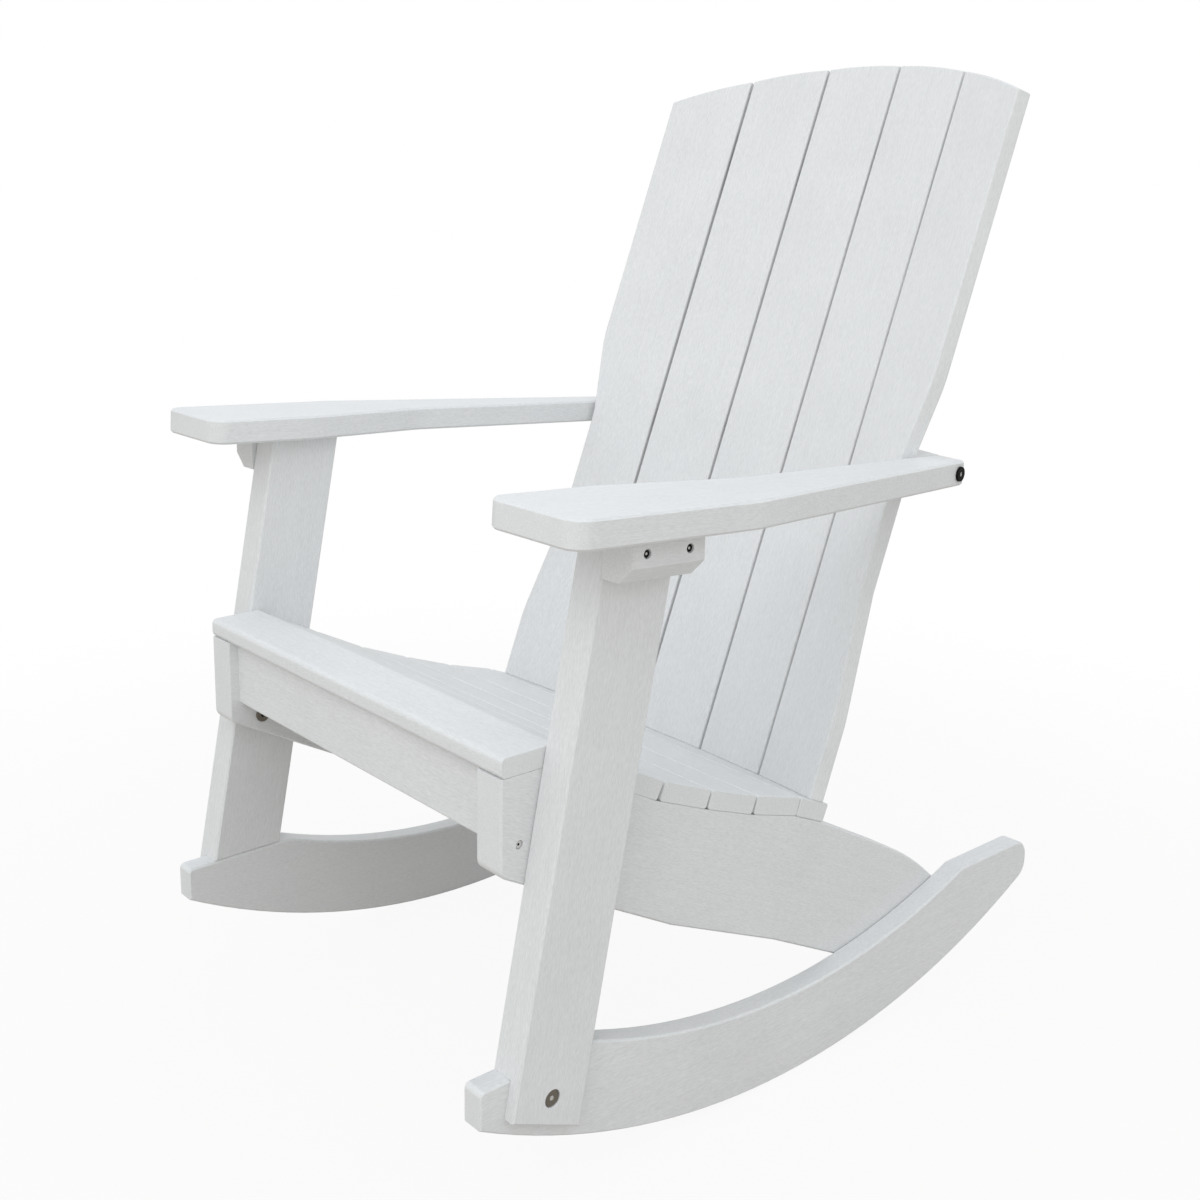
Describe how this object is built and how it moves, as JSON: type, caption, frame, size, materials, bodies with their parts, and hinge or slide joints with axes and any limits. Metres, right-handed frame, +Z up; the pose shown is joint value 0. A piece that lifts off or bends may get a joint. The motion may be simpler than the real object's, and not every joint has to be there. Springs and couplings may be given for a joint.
{
  "type": "rocking adirondack chair",
  "caption": "Outdoor rocking chair of white boards: fanned hollow back with waisted outer slats, broad bent arms, sloping slatted seat and curved rockers.",
  "frame": {"origin": "on the floor, midway between the rockers and midway between their front and rear ends", "axes": "+Z up, the sitter faces -Y, and +X is the sitter's left"},
  "size_m": [0.734, 0.873, 1.0979],
  "materials": {
    "white_board": "satin, fine brushed grain along each board",
    "black_fastener": "satin black"
  },
  "bodies": {
    "root": {"left_rocker": "white_board", "left_leg": "white_board", "left_arm": "white_board", "left_arm_bracket": "white_board", "left_stringer": "white_board", "left_seat_batten": "white_board", "right_rocker": "white_board", "right_leg": "white_board", "right_arm": "white_board", "right_arm_bracket": "white_board", "right_stringer": "white_board", "right_seat_batten": "white_board", "front_apron": "white_board", "seat_front_board": "white_board", "seat_slat_1": "white_board", "seat_slat_2": "white_board", "seat_slat_3": "white_board", "seat_slat_4": "white_board", "seat_slat_5": "white_board", "seat_rear_board": "white_board", "rear_cross_rail": "white_board", "back_slat_1": "white_board", "back_slat_2": "white_board", "back_slat_3": "white_board", "back_slat_4": "white_board", "back_slat_5": "white_board", "arm_rail": "white_board", "upper_back_rail": "white_board", "leg_rocker_bolts": "black_fastener", "leg_stringer_bolts": "black_fastener", "arm_bracket_screws": "black_fastener", "arm_rail_bolts": "black_fastener", "apron_screws": "black_fastener"}
  },
  "joints": []
}
